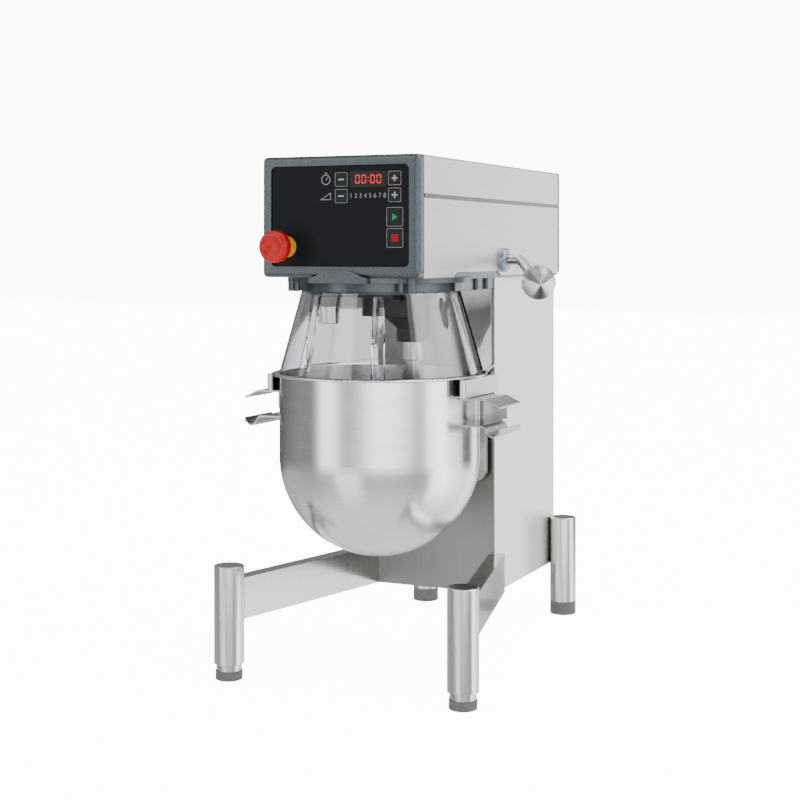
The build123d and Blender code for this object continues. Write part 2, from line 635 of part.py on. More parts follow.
def gear_outline(teeth, addendum, dedendum, thickness, phase):
    """The closed outline of an external gear with its first tooth at phase degrees."""
    pitch = MODULE * teeth / 2
    base = pitch * cos(radians(PRESSURE_ANGLE))
    tip = pitch + addendum
    root = pitch - dedendum
    half = thickness / (2 * pitch) + involute(radians(PRESSURE_ANGLE))
    radii = [max(root, base), (max(root, base) + pitch) / 2, pitch, tip]
    flank = [(radius, half - involute(acos(min(1, base / radius)))) for radius in radii]
    if root < base:
        flank.insert(0, (root, flank[0][1]))
    points = []
    for tooth in range(teeth):
        centre = radians(phase) + 2 * pi * tooth / teeth
        for radius, angle in flank:
            points.append((radius * cos(centre - angle), radius * sin(centre - angle)))
        for radius, angle in reversed(flank):
            points.append((radius * cos(centre + angle), radius * sin(centre + angle)))
    return points


def planetary():
    """The turning planet carrier with its arm, and the tool that it drives."""
    ring = collar(0, AXIS_Y, GEAR_BOTTOM, HEAD_BOTTOM, 64, 71)
    ring += collar(0, AXIS_Y, GEAR_BOTTOM, GEAR_TOP + 1, 50, 66)
    space = pi * MODULE / 2 + BACKLASH / 2
    cutter = prism(gear_outline(RING_TEETH, 2.5, 1.8, space, TOOL_ANGLE), GEAR_BOTTOM - 1, GEAR_TOP + 2)
    keep("ring_gear", ring - Pos(0, AXIS_Y, 0) * cutter)

    outline = gear_outline(PINION_TEETH, 1.8, 2.5, pi * MODULE / 2 - BACKLASH / 2, TOOL_ANGLE)
    pinion = Pos(TOOL_X, TOOL_Y, 0) * prism(outline, GEAR_BOTTOM + 0.5, GEAR_TOP)
    keep("planet_pinion", pinion - post(TOOL_X, TOOL_Y, GEAR_BOTTOM, GEAR_TOP, TOOL_JOURNAL - 1))

    disc = post(0, AXIS_Y, DISC_BOTTOM, DISC_TOP, DISC_RADIUS)
    arm = post(0, AXIS_Y, ARM_BOTTOM, DISC_BOTTOM, ARM_RADIUS)
    arm += post(TOOL_X, TOOL_Y, ARM_BOTTOM, DISC_BOTTOM, ARM_RADIUS)
    arm += strip(0, AXIS_Y, TOOL_X, TOOL_Y, 2 * ARM_RADIUS, ARM_BOTTOM, DISC_BOTTOM)
    boss = post(TOOL_X, TOOL_Y, BOSS_BOTTOM, ARM_BOTTOM + 6, ARM_RADIUS - 0.5)
    boss = fillet(boss.edges().group_by(Axis.Z)[0], 3)
    web = loft(Sketch() + [
        Pos(TOOL_X, TOOL_Y, ARM_BOTTOM - 16) * Circle(ARM_RADIUS - 0.5),
        Pos(TOOL_X * 0.72, AXIS_Y + (TOOL_Y - AXIS_Y) * 0.72, ARM_BOTTOM) * Circle(ARM_RADIUS + 4)])
    housing = disc + arm + boss + web
    housing -= post(TOOL_X, TOOL_Y, BOSS_BOTTOM - 1, DISC_TOP + 1, TOOL_JOURNAL + 1.5)
    for z in (BOSS_BOTTOM + 4, DISC_TOP - 12):
        housing -= post(TOOL_X, TOOL_Y, z, z + 12.1, 17)
    keep("planet_housing", housing)

    bearings = [collar(TOOL_X, TOOL_Y, z, z + 12, TOOL_JOURNAL + RUNNING_FIT, 17)
                for z in (BOSS_BOTTOM + 4, DISC_TOP - 12)]
    keep("tool_bearings", *bearings)

    main = post(0, AXIS_Y, DISC_TOP, MAIN_SHAFT_TOP, SHAFT_RADIUS)
    main += post(0, AXIS_Y, DISC_TOP, MAIN_BEARING_Z[0] - 4, SHAFT_RADIUS + 4)
    keep("main_shaft", main)
    pulley = post(0, AXIS_Y, BELT_BOTTOM - 3, BELT_TOP + 3, MAIN_PULLEY + 2)
    pulley -= collar(0, AXIS_Y, BELT_BOTTOM - 0.5, BELT_TOP + 0.5, MAIN_PULLEY, MAIN_PULLEY + 5)
    pulley -= collar(0, AXIS_Y, BELT_BOTTOM + 6, BELT_TOP + 5, 22, MAIN_PULLEY - 8)
    keep("main_pulley", pulley - post(0, AXIS_Y, 560, 600, SHAFT_RADIUS))

    stub = post(STUB_X, STUB_Y, STUB_BOTTOM, STUB_STEP, TOOL_RADIUS)
    stub += post(STUB_X, STUB_Y, STUB_STEP, DISC_BOTTOM, TOOL_RADIUS + 0.6)
    keep("accessory_stub", chamfer(stub.edges().group_by(Axis.Z)[0], 1))

    shaft = post(TOOL_X, TOOL_Y, BOSS_BOTTOM - 0.5, GEAR_TOP, TOOL_JOURNAL)
    shaft -= post(TOOL_X, TOOL_Y, GEAR_BOTTOM, GEAR_TOP + 1, TOOL_JOURNAL + 1)
    shaft += post(TOOL_X, TOOL_Y, DISC_TOP, GEAR_TOP, TOOL_JOURNAL - 1)
    socket = post(TOOL_X, TOOL_Y, TOOL_BOTTOM, BOSS_BOTTOM - 0.5, TOOL_RADIUS)
    keep("tool_shaft", shaft + chamfer(socket.edges().group_by(Axis.Z)[0], 1))


def whisk():
    """The wire whisk: a hub with nested wire loops."""
    hub = post(TOOL_X, TOOL_Y, HUB_TOP, TOOL_BOTTOM, HUB_NECK)
    hub += post(TOOL_X, TOOL_Y, HUB_BOTTOM, HUB_TOP, HUB_RADIUS)
    keep("whisk_hub", fillet(hub.edges().group_by(Axis.Z)[0], 3))
    wires = []
    for index in range(WIRE_LOOPS):
        shrink = index * WIRE_STEP
        side = [(9, HUB_BOTTOM - 0.6), (9.8, HUB_BOTTOM - 5), (16, 364), (40 - shrink, 338),
                (66 - shrink, 305), (74 - shrink, 268), (66 - shrink, 228), (42 - shrink, 190 + shrink)]
        tip = [(0, 170 + 1.4 * shrink)]
        points = [(r, 0, z) for r, z in side + tip] + [(-r, 0, z) for r, z in reversed(side)]
        path = Spline(*points)
        wire = sweep(Plane(origin=path @ 0, z_dir=path % 0) * Circle(WIRE_RADIUS), path=path)
        wires.append(Pos(TOOL_X, TOOL_Y, 0) * Rot(0, 0, 180 * index / WIRE_LOOPS) * wire)
    keep("whisk_wires", *wires)


def belt_loop(grow, z0, z1):
    """The tapering loop around both pulleys, grown outwards."""
    span = MOTOR_Y - AXIS_Y
    large = MAIN_PULLEY + grow
    small = MOTOR_PULLEY + grow
    lean = acos((MAIN_PULLEY - MOTOR_PULLEY) / span)
    near = [(large * sin(lean), AXIS_Y + large * cos(lean)), (small * sin(lean), MOTOR_Y + small * cos(lean))]
    outline = near + [(-x, y) for x, y in reversed(near)]
    loop = prism(outline, z0, z1) + post(0, AXIS_Y, z0, z1, large)
    return loop + post(0, MOTOR_Y, z0, z1, small)


def belt_drive():
    """Bearings, belt, and the motor hung below the head's plate."""
    bore = SHAFT_RADIUS + RUNNING_FIT
    bearings = [collar(0, AXIS_Y, z, z + MAIN_BEARING_HEIGHT, bore, MAIN_BEARING_RADIUS)
                for z in MAIN_BEARING_Z]
    bore = MOTOR_SHAFT + RUNNING_FIT
    bearings += [collar(0, MOTOR_Y, z, z + MOTOR_BEARING_HEIGHT, bore, MOTOR_BEARING_RADIUS)
                 for z in MOTOR_BEARING_Z]
    keep("shaft_bearings", *bearings)

    belt = belt_loop(BELT_GAP + BELT_THICK, BELT_BOTTOM, BELT_TOP)
    keep("drive_belt", belt - belt_loop(BELT_GAP, BELT_BOTTOM - 1, BELT_TOP + 1))

    top = PLATE_STEP
    half = MOTOR_FLANGE_HALF
    low_bearing, high_bearing = MOTOR_BEARING_Z
    bearing_top = high_bearing + MOTOR_BEARING_HEIGHT
    housing = post(0, MOTOR_Y, MOTOR_BOTTOM, top, MOTOR_RADIUS)
    for index in range(MOTOR_FINS):
        fin = block(MOTOR_RADIUS - 2, MOTOR_RADIUS + 5, -1.2, 1.2, *MOTOR_FIN_Z)
        housing += Pos(0, MOTOR_Y, 0) * Rot(0, 0, 360 * index / MOTOR_FINS) * fin
    flange = block(-half, half, MOTOR_Y - half, MOTOR_Y + half, MOTOR_FLANGE_Z, top)
    housing += fillet(flange.edges().filter_by(Axis.Z), 8)
    housing -= post(0, MOTOR_Y, low_bearing + MOTOR_BEARING_HEIGHT, high_bearing, MOTOR_RADIUS - 8)
    housing -= post(0, MOTOR_Y, low_bearing, bearing_top, MOTOR_BEARING_RADIUS)
    housing -= post(0, MOTOR_Y, high_bearing, top + 5, MOTOR_SHAFT + 5)
    keep("motor_housing", housing)

    rotor = post(0, MOTOR_Y, low_bearing + 0.5, BELT_TOP + 4, MOTOR_SHAFT)
    keep("motor_rotor", rotor + post(0, MOTOR_Y, *ROTOR_Z, ROTOR_RADIUS))
    pulley = post(0, MOTOR_Y, BELT_BOTTOM - 3, BELT_TOP + 3, MOTOR_PULLEY + 2)
    pulley -= collar(0, MOTOR_Y, BELT_BOTTOM - 0.5, BELT_TOP + 0.5, MOTOR_PULLEY, MOTOR_PULLEY + 5)
    keep("motor_pulley", pulley - post(0, MOTOR_Y, 500, 600, MOTOR_SHAFT))


# ---- bowl guard ----

def skirt_radius(z):
    """The guard skirt's outer radius at a height."""
    share = (RING_BOTTOM - z) / (RING_BOTTOM - SKIRT_BOTTOM)
    return SKIRT_TOP_RADIUS + share * (SKIRT_BOTTOM_RADIUS - SKIRT_TOP_RADIUS)


def cone(inset):
    """The solid cone inside the skirt's wall, inset from its outer face."""
    height = RING_BOTTOM - SKIRT_BOTTOM
    shape = Cone(SKIRT_BOTTOM_RADIUS - inset, SKIRT_TOP_RADIUS - inset, height, align=UP)
    return Pos(0, 0, SKIRT_BOTTOM) * shape


def pleat(angle, inset):
    """The wedge that one V-shaped pleat takes out of the cone; it deepens downwards."""
    faces = []
    for z, depth in ((SKIRT_BOTTOM, PLEAT_DEPTH_BOTTOM), (PLEAT_TOP, PLEAT_DEPTH_TOP)):
        radius = skirt_radius(z)
        half = PLEAT_HALF + inset
        corners = [(-half, -radius - 4), (half, -radius - 4), (half, -radius + 0.6 * inset),
                   (0, -radius + depth + 1.6 * inset), (-half, -radius + 0.6 * inset)]
        faces.append(Pos(0, 0, z) * make_face(Polyline(*corners, close=True)))
    return Rot(0, 0, angle) * loft(Sketch() + faces, ruled=True)


def guard_skirt():
    """The clear skirt in front of the bowl, with its two pleats."""
    outer = cone(0)
    inner = cone(SKIRT_THICK)
    for angle in PLEAT_ANGLES:
        outer -= pleat(angle, 0)
        inner -= pleat(angle, SKIRT_THICK)
    turn = radians(SKIRT_SPAN)
    reach = 400.0
    edge = (reach * sin(turn), -reach * cos(turn))
    sector = [(0, 0), (-edge[0], edge[1]), (-reach, -reach), (reach, -reach), edge]
    return Pos(0, AXIS_Y, 0) * ((outer - inner) & prism(sector, SKIRT_BOTTOM, RING_BOTTOM))


def tangent_foot(radius, x, y):
    """Where the line from a point touches a circle about the bowl's axis."""
    distance = hypot(x, y - AXIS_Y)
    angle = atan2(y - AXIS_Y, x) - acos(radius / distance)
    return radius * cos(angle), AXIS_Y + radius * sin(angle)


def rear_panel():
    """The right clear side sheet, ruled between its upper and lower tangent lines."""
    end_x = COLUMN_HALF - 4
    end_y = COLUMN_FRONT - 1
    faces = []
    lines = []
    for z, radius in ((SKIRT_BOTTOM, SKIRT_BOTTOM_RADIUS + REAR_BOTTOM_GAP),
                      (RING_BOTTOM - 0.3, RING_OUTER + REAR_TOP_GAP)):
        x, y = tangent_foot(radius + SKIRT_THICK / 2, end_x, end_y)
        length = hypot(end_x - x, end_y - y)
        turn = degrees(atan2(end_y - y, end_x - x))
        place = Pos((x + end_x) / 2, (y + end_y) / 2, z) * Rot(0, 0, turn)
        faces.append(place * Rectangle(length, SKIRT_THICK))
        lines.append((x, y))
    x, y = lines[0]
    lip = strip(x + 3, y, end_x + 3, end_y - 1, 5, SKIRT_BOTTOM, SKIRT_BOTTOM + SKIRT_THICK)
    return loft(Sketch() + faces, ruled=True) + lip


def guard():
    """The flange under the head, the turning guard and the fixed side sheets."""
    flange = collar(0, AXIS_Y, FLANGE_BOTTOM, FLANGE_TOP, 90, FLANGE_RADIUS)
    flange += collar(0, AXIS_Y, RING_BOTTOM - 1, FLANGE_BOTTOM, 92, RING_INNER - 0.6)
    flange += collar(0, AXIS_Y, RING_BOTTOM - 4, RING_BOTTOM - 0.6, 92, RING_INNER + 1)
    hump = [(-40, FLANGE_BOTTOM), (40, FLANGE_BOTTOM), (40, FLANGE_TOP), (32, 517), (22, 522), (14, 524.5),
            (-14, 524.5), (-22, 522), (-32, 517), (-40, FLANGE_TOP)]
    flange += side_prism(hump, -3.4, -0.4)
    flange += block(-40, 40, -0.5, 12, FLANGE_BOTTOM, FLANGE_TOP)
    foot_x, foot_y = tangent_foot(RING_OUTER + REAR_TOP_GAP + 1, COLUMN_HALF - 4, COLUMN_FRONT - 0.5)
    for side in (-1, 1):
        flange += post(side * POST[0], POST[1], RING_BOTTOM, FLANGE_TOP, 5.7)
        flange += post(side * POST_RIB[0], POST_RIB[1], RING_BOTTOM, FLANGE_TOP, 3.6)
        flange += strip(side * foot_x, foot_y - 18, side * foot_x, foot_y, 3.4, RING_BOTTOM, PLATE_STEP - 0.3)
        flange += strip(side * foot_x, foot_y, side * (COLUMN_HALF - 4), COLUMN_FRONT - 0.5, 3.4,
                        RING_BOTTOM, PLATE_STEP - 0.3)
        flange += strip(side * foot_x, foot_y - 18, side * foot_x, foot_y, 8, FLANGE_BOTTOM, PLATE_STEP - 0.3)
        for share in (0.42, 0.72):
            x = foot_x + share * (COLUMN_HALF - 4 - foot_x) + 3
            y = foot_y + share * (COLUMN_FRONT - foot_y)
            flange += post(side * x, y, RING_BOTTOM, PLATE_STEP - 0.3, 3.2)
    keep("guard_flange", flange)
    keep("rear_guard", *both(rear_panel()))

    ring = collar(0, AXIS_Y, RING_BOTTOM, RING_TOP, RING_INNER, RING_OUTER)
    keep("guard_ring", ring)
    keep("guard_skirt", guard_skirt())


def main():
    """Builds every node and writes it about the bottom centre of the machine's box."""
    stand()
    head()
    front_panel()
    lift()
    lever()
    planetary()
    whisk()
    belt_drive()
    guard()
    boxes = [piece.bounding_box() for pieces in PARTS.values() for piece in pieces]
    centre_x = (min(box.min.X for box in boxes) + max(box.max.X for box in boxes)) / 2
    centre_y = (min(box.min.Y for box in boxes) + max(box.max.Y for box in boxes)) / 2
    os.makedirs("parts", exist_ok=True)
    for name, pieces in PARTS.items():
        placed = [Pos(-centre_x, -centre_y, 0) * piece for piece in pieces]
        export_step(placed[0] if len(placed) == 1 else Compound(placed), f"parts/{name}.step")
    print(len(PARTS), "nodes, centre", centre_x, centre_y)


main()
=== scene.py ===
"""The visible model of the commercial stand mixer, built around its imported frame. Metres."""
from math import cos, pi, radians, sin

import bmesh
import bpy
from mathutils import Matrix, Vector


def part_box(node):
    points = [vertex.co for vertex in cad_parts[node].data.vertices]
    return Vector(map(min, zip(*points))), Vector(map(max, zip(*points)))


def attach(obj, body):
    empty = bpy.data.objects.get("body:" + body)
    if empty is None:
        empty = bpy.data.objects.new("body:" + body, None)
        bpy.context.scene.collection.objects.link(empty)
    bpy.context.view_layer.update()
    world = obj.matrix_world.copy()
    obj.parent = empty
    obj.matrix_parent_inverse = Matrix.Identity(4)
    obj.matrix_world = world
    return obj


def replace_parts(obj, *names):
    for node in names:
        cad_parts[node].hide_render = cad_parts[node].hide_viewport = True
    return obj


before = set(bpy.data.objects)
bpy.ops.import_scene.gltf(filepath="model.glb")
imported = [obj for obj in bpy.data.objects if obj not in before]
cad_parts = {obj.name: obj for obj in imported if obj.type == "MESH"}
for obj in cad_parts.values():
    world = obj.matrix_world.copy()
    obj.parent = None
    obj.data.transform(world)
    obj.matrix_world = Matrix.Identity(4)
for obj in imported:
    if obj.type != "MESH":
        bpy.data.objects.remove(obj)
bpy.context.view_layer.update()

MM = 0.001


def corner(node, side, axis):
    """One coordinate of a node's box: side 0 is its low end and 1 its high end."""
    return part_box(node)[side][axis]


# ---- places read from the frame ----
CENTRE_X = (corner("mixing_bowl", 0, 0) + corner("mixing_bowl", 1, 0)) / 2
BOWL_Y = (corner("mixing_bowl", 0, 1) + corner("mixing_bowl", 1, 1)) / 2
PANEL_Y = corner("control_panel", 0, 1)
KEY_Y = corner("key_start", 0, 1)
WINDOW_Y = corner("display_window", 0, 1)


# ---- node helpers ----

class Nodes:
    """A short way to write a node tree."""

    def __init__(self, tree):
        self.tree = tree
        self.tree.nodes.clear()
        self.coords = self.node("ShaderNodeTexCoord")

    def node(self, kind, **values):
        """A node with its settings and the values of its inputs, an underscore for each space."""
        made = self.tree.nodes.new(kind)
        for key, value in values.items():
            if hasattr(made, key):
                setattr(made, key, value)
            else:
                made.inputs[key.replace("_", " ")].default_value = value
        return made

    def link(self, source, output, target, socket):
        """Joins a node's output to another node's socket."""
        self.tree.links.new(source.outputs[output], target.inputs[socket])

    def spread(self, source, output, start, end, low=0.0, high=1.0):
        """A value mapped from start and end to low and high."""
        made = self.node("ShaderNodeMapRange", From_Min=start, From_Max=end, To_Min=low, To_Max=high)
        self.link(source, output, made, "Value")
        return made

    def scaled(self, source, output, factor):
        """A value times a number."""
        made = self.node("ShaderNodeMath", operation="MULTIPLY")
        self.link(source, output, made, 0)
        made.inputs[1].default_value = factor
        return made

    def product(self, first, first_output, second, second_output):
        """A colour times another colour or a value."""
        made = self.node("ShaderNodeVectorMath", operation="MULTIPLY")
        self.link(first, first_output, made, 0)
        self.link(second, second_output, made, 1)
        return made

    def parts(self, source, output):
        """The X, Y and Z of a vector."""
        made = self.node("ShaderNodeSeparateXYZ")
        self.link(source, output, made, "Vector")
        return made

    def angle(self, parts):
        """The angle round the Z axis, from -pi to pi."""
        made = self.node("ShaderNodeMath", operation="ARCTAN2")
        self.link(parts, "X", made, 0)
        self.link(parts, "Y", made, 1)
        return made

    def turn(self, parts):
        """The angle round the Z axis, from 0 to 1."""
        return self.spread(self.angle(parts), "Value", -pi, pi)

    def ramp(self, source, output, stops):
        """A colour ramp; each stop is a place and a colour."""
        made = self.node("ShaderNodeValToRGB")
        elements = made.color_ramp.elements
        while len(elements) < len(stops):
            elements.new(0.5)
        for element, (place, colour) in zip(elements, stops):
            element.position = place
            element.color = (*colour, 1)
        self.link(source, output, made, "Fac")
        return made


class Graph(Nodes):
    """The node tree of a new material."""

    def __init__(self, name):
        self.material = bpy.data.materials.new(name)
        self.material.use_nodes = True
        super().__init__(self.material.node_tree)
        self.output = self.node("ShaderNodeOutputMaterial")
        self.shader = self.node("ShaderNodeBsdfPrincipled")
        self.link(self.shader, "BSDF", self.output, "Surface")

    def set(self, **values):
        """Gives the shader's inputs their values, an underscore for each space."""
        for key, value in values.items():
            self.shader.inputs[key.replace("_", " ")].default_value = value
        return self

    def stretched(self, scale=(1, 1, 1)):
        """Object coordinates scaled along each axis."""
        mapping = self.node("ShaderNodeMapping")
        mapping.inputs["Scale"].default_value = scale
        self.link(self.coords, "Object", mapping, "Vector")
        return mapping

    def round_coords(self, along, around):
        """Coordinates round the bowl's upright axis, from the angle and the height."""
        centred = self.node("ShaderNodeMapping")
        centred.inputs["Location"].default_value = (-CENTRE_X, -BOWL_Y, 0)
        self.link(self.coords, "Object", centred, "Vector")
        parts = self.parts(centred, "Vector")
        joined = self.node("ShaderNodeCombineXYZ")
        self.link(self.scaled(self.angle(parts), "Value", around), "Value", joined, "X")
        self.link(self.scaled(parts, "Z", along), "Value", joined, "Z")
        return joined

    def noise(self, source, scale, detail=4.0, roughness=0.6):
        """A noise texture over the given coordinates."""
        made = self.node("ShaderNodeTexNoise", Scale=scale, Detail=detail, Roughness=roughness)
        self.link(source, "Vector", made, "Vector")
        return made

    def radial(self):
        """Lays the anisotropic grain round the Z axis."""
        tangent = self.node("ShaderNodeTangent", direction_type="RADIAL", axis="Z")
        self.link(tangent, "Tangent", self.shader, "Tangent")
        return self

    def paint(self, source, output, stops):
        """Drives the base colour through a ramp."""
        self.link(self.ramp(source, output, stops), "Color", self.shader, "Base Color")
        return self

    def rough(self, source, output, low, high):
        """Drives the roughness between two values."""
        self.link(self.spread(source, output, 0, 1, low, high), "Result", self.shader, "Roughness")
        return self

    def bump(self, source, output, strength, distance):
        """Adds a bump to whatever bump is already there."""
        made = self.node("ShaderNodeBump", Strength=strength, Distance=distance)
        self.link(source, output, made, "Height")
        socket = self.shader.inputs["Normal"]
        if socket.links:
            self.tree.links.new(socket.links[0].from_socket, made.inputs["Normal"])
        self.link(made, "Normal", self.shader, "Normal")
        return self


def grey(value, tint=(1.0, 1.0, 1.0)):
    """A grey with a slight tint."""
    return tuple(value * part for part in tint)


# ---- materials ----

WARM = (1.0, 0.985, 0.96)
# Painted shade on the column: faces whose normal points to the front keep FRONT_PAINTED_SHADE of the
# steel's colour, rising to full colour as the normal's Y goes from the first to the second value of
# FRONT_FACING.
FRONT_FACING = (-0.9, -0.3)
FRONT_PAINTED_SHADE = 0.22
# Painted reflection on the lever ball: the share of the steel's colour at each place round the ball's axis,
# from 0 to 1, giving light and dark cones in its colour.
BALL_PAINTED_REFLECTION = [
    (0.0, 0.05), (0.06, 0.12), (0.11, 0.75), (0.27, 0.70), (0.32, 0.10), (0.38, 0.10), (0.44, 0.35),
    (0.55, 0.42), (0.61, 0.10), (0.67, 0.10), (0.71, 0.78), (0.88, 0.80), (0.94, 0.12), (1.0, 0.05),
]


def steel_stops(value, dark, light, low=0.25, high=0.75):
    """The two stops of a steel's colour, as shares of its value."""
    return [(low, grey(value * dark, WARM)), (high, grey(value * light, WARM))]


def brushed_steel(name, value, scale, roughness):
    """Sheet steel brushed along the axis with the smallest scale."""
    g = Graph(name).set(Metallic=1.0)
    grain = g.noise(g.stretched(scale), 1.0, 6.0, 0.65)
    cloud = g.noise(g.stretched(), 9.0, 3.0)
    g.paint(grain, "Fac", steel_stops(value, 0.88, 1.08))
    g.rough(grain, "Fac", roughness - 0.06, roughness + 0.08)
    g.bump(grain, "Fac", 0.10, 0.00003)
    g.bump(cloud, "Fac", 0.03, 0.0004)
    return g.material


def column_with_painted_shade(value):
    """Upright brushed sheet whose front, facing the bowl, is darkened by painted shade in its colour."""
    g = Graph("column_steel").set(Metallic=1.0)
    grain = g.noise(g.stretched((900, 900, 12)), 1.0, 6.0, 0.65)
    brushed = g.ramp(grain, "Fac", steel_stops(value, 0.9, 1.06))
    # Painted shade: the front faces' colour is scaled down here, not shaded by the lamps.
    shade = g.spread(g.parts(g.coords, "Normal"), "Y", *FRONT_FACING, FRONT_PAINTED_SHADE)
    g.link(g.product(brushed, "Color", shade, "Result"), "Vector", g.shader, "Base Color")
    g.rough(grain, "Fac", 0.28, 0.42)
    g.bump(grain, "Fac", 0.1, 0.00003)
    return g.material


def spun_steel(name, value, roughness, anisotropic):
    """Steel polished round and round an upright axis."""
    g = Graph(name).set(Metallic=1.0, Anisotropic=anisotropic, Anisotropic_Rotation=0.25).radial()
    grain = g.noise(g.round_coords(900.0, 3.0), 1.0, 6.0, 0.7)
    wide = g.noise(g.round_coords(60.0, 0.8), 1.0, 3.0, 0.5)
    g.paint(grain, "Fac", steel_stops(value, 0.86, 1.1))
    g.rough(wide, "Fac", roughness - 0.05, roughness + 0.07)
    g.bump(grain, "Fac", 0.12, 0.00002)
    return g.material


def machined_steel(name, value, roughness):
    """Turned bar with faint rings and hand marks."""
    g = Graph(name).set(Metallic=1.0)
    rings = g.noise(g.stretched((30, 30, 1500)), 1.0, 3.0)
    smudge = g.noise(g.stretched(), 60.0, 4.0)
    g.paint(smudge, "Fac", steel_stops(value, 0.85, 1.05, 0.3, 0.7))
    g.rough(smudge, "Fac", roughness - 0.05, roughness + 0.08)
    g.bump(rings, "Fac", 0.08, 0.00002)
    return g.material


def ball_steel():
    """Steel turned about the ball's own axis, with light and dark cones painted into its colour as a
    painted reflection.
    """
    g = Graph("ball_steel").set(Metallic=1.0, Anisotropic=1.0, Anisotropic_Rotation=0.25).radial()
    rings = g.noise(g.stretched((8, 8, 1600)), 1.0, 4.0)
    grooves = g.ramp(rings, "Fac", steel_stops(1.0, 0.85, 1.05, 0.3, 0.7))
    turn = g.turn(g.parts(g.coords, "Object"))
    # Painted reflection: the light and dark cones are in the base colour and turn with the ball.
    cones = g.ramp(turn, "Result", [(place, grey(value)) for place, value in BALL_PAINTED_REFLECTION])
    g.link(g.product(grooves, "Color", cones, "Color"), "Vector", g.shader, "Base Color")
    g.rough(rings, "Fac", 0.30, 0.40)
    return g.material


def hammered_paint(name, dark, light, cell=420.0):
    """Glossy two-tone hammer paint over a casting."""
    g = Graph(name)
    g.set(Metallic=0.3, Specular_IOR_Level=0.3, Coat_Weight=0.25, Coat_Roughness=0.12)
    wide = g.noise(g.stretched(), 38.0, 5.0)
    fine = g.noise(g.stretched(), cell, 3.0)
    cells = g.node("ShaderNodeTexVoronoi", Scale=cell)
    g.link(g.coords, "Object", cells, "Vector")
    g.paint(fine, "Fac", [(0.3, dark), (0.72, light)])
    g.rough(wide, "Fac", 0.26, 0.42)
    g.bump(cells, "Distance", 0.2, 0.00025)
    g.bump(wide, "Fac", 0.15, 0.0006)
    return g.material


def plastic(name, colour, roughness, grain=900.0, strength=0.08, gloss=0.3):
    """Moulded plastic or painted metal with a fine grain."""
    g = Graph(name).set(Specular_IOR_Level=gloss)
    fine = g.noise(g.stretched(), grain, 3.0)
    wide = g.noise(g.stretched(), 25.0, 4.0)
    dark = tuple(part * 0.88 for part in colour)
    light = tuple(part * 1.08 for part in colour)
    g.paint(wide, "Fac", [(0.3, dark), (0.7, light)])
    g.rough(wide, "Fac", roughness - 0.04, roughness + 0.06)
    g.bump(fine, "Fac", strength, 0.00006)
    return g.material


def rubber(name, value):
    """Matt rubber with scuffs."""
    g = Graph(name)
    scuff = g.noise(g.stretched((60, 60, 400)), 1.0, 6.0, 0.75)
    fine = g.noise(g.stretched(), 1200.0, 3.0)
    g.paint(scuff, "Fac", [(0.3, grey(value * 0.75)), (0.7, grey(value * 1.35))])
    g.rough(scuff, "Fac", 0.62, 0.85)
    g.bump(fine, "Fac", 0.2, 0.0004)
    return g.material


def clear_plastic(name, tint, index):
    """Thin clear sheet, very slightly hazed."""
    g = Graph(name).set(Transmission_Weight=1.0, IOR=index, Base_Color=(*tint, 1))
    haze = g.noise(g.stretched(), 30.0, 4.0)
    g.rough(haze, "Fac", 0.0, 0.045)
    g.bump(haze, "Fac", 0.02, 0.002)
    return g.material


def lamp(name, colour, strength):
    """A lit symbol."""
    shade = (*colour, 1)
    g = Graph(name).set(Emission_Strength=strength, Emission_Color=shade, Base_Color=shade)
    grain = g.noise(g.stretched(), 800.0, 2.0)
    g.rough(grain, "Fac", 0.3, 0.45)
    return g.material


